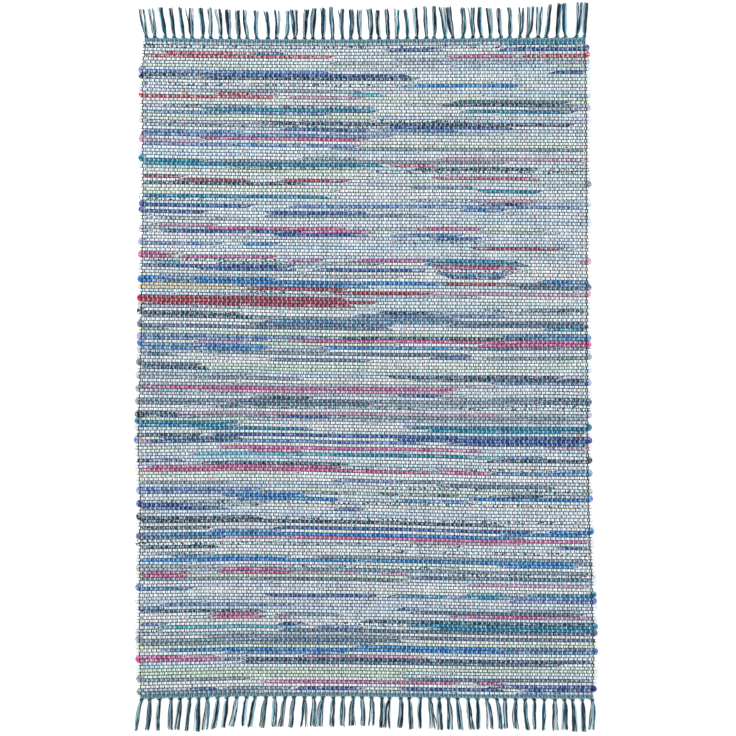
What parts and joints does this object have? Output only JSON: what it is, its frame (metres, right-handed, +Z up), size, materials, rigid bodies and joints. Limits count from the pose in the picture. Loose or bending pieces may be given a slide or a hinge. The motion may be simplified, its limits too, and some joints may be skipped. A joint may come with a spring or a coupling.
{
  "type": "rag rug",
  "caption": "Flat hand-woven rag rug with raised cross ribs, looped long edges and knotted yarn fringe at both ends.",
  "frame": {"origin": "middle of the underside, on the floor, at the centre of the overall box", "axes": "+Y along the rug's length towards its far fringe, +X across its width to the right, +Z up out of its face"},
  "size_m": [1.2257, 1.924, 0.0068],
  "materials": {
    "rag_cloth": "matt woven cotton rag",
    "warp_yarn": "matt twisted cotton yarn"
  },
  "bodies": {
    "root": {"cloth": "rag_cloth", "fringe_far": "warp_yarn", "fringe_near": "warp_yarn"}
  },
  "joints": []
}
